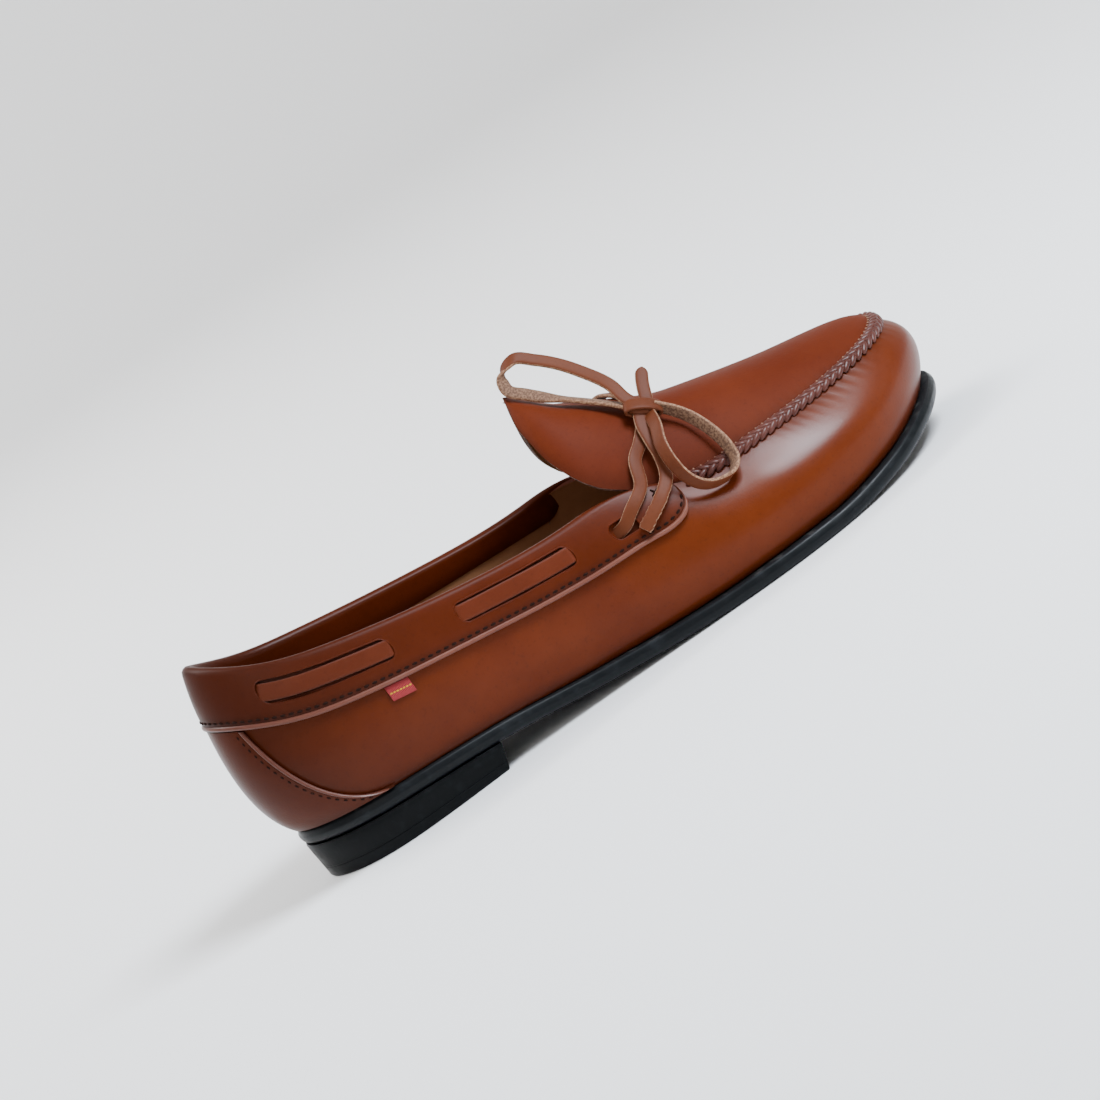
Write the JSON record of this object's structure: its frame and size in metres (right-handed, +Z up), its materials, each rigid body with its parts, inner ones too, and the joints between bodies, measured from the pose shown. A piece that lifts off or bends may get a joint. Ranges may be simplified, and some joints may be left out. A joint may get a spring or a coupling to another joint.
{
  "type": "bow moccasin loafer",
  "caption": "Right-foot leather moccasin loafer with a plaited apron seam, a laced collar band and bow, on a black sole with a low heel: worn on the foot and stood on the floor.",
  "frame": {"origin": "on the floor under the middle of the shoe's length and width", "axes": "+X to the toe, -Y to the foot's outer side, +Z up"},
  "size_m": [0.2952, 0.0994, 0.1106],
  "materials": {
    "sole_rubber": "satin black",
    "lining_leather": "matt tan",
    "wall_leather": "satin cognac",
    "apron_leather": "satin red-brown",
    "band_leather": "satin brown",
    "seam_leather": "satin maroon-brown",
    "lace_leather": "matt tan",
    "tab_fabric": "woven crimson"
  },
  "bodies": {
    "root": {"outsole": "sole_rubber", "heel": "sole_rubber", "insole": "lining_leather", "upper": "wall_leather", "apron": "apron_leather", "apron_seam": "seam_leather", "collar_band": "band_leather", "heel_counter": "wall_leather", "lace_bar_outer_rear": "lace_leather", "lace_bar_outer_front": "lace_leather", "lace_bar_inner_rear": "lace_leather", "lace_bar_inner_front": "lace_leather", "lace_front": "lace_leather", "lace_knot": "lace_leather", "lace_loop_far": "lace_leather", "lace_loop_near": "lace_leather", "lace_end_short": "lace_leather", "lace_end_long": "lace_leather", "side_tab": "tab_fabric"}
  },
  "joints": []
}
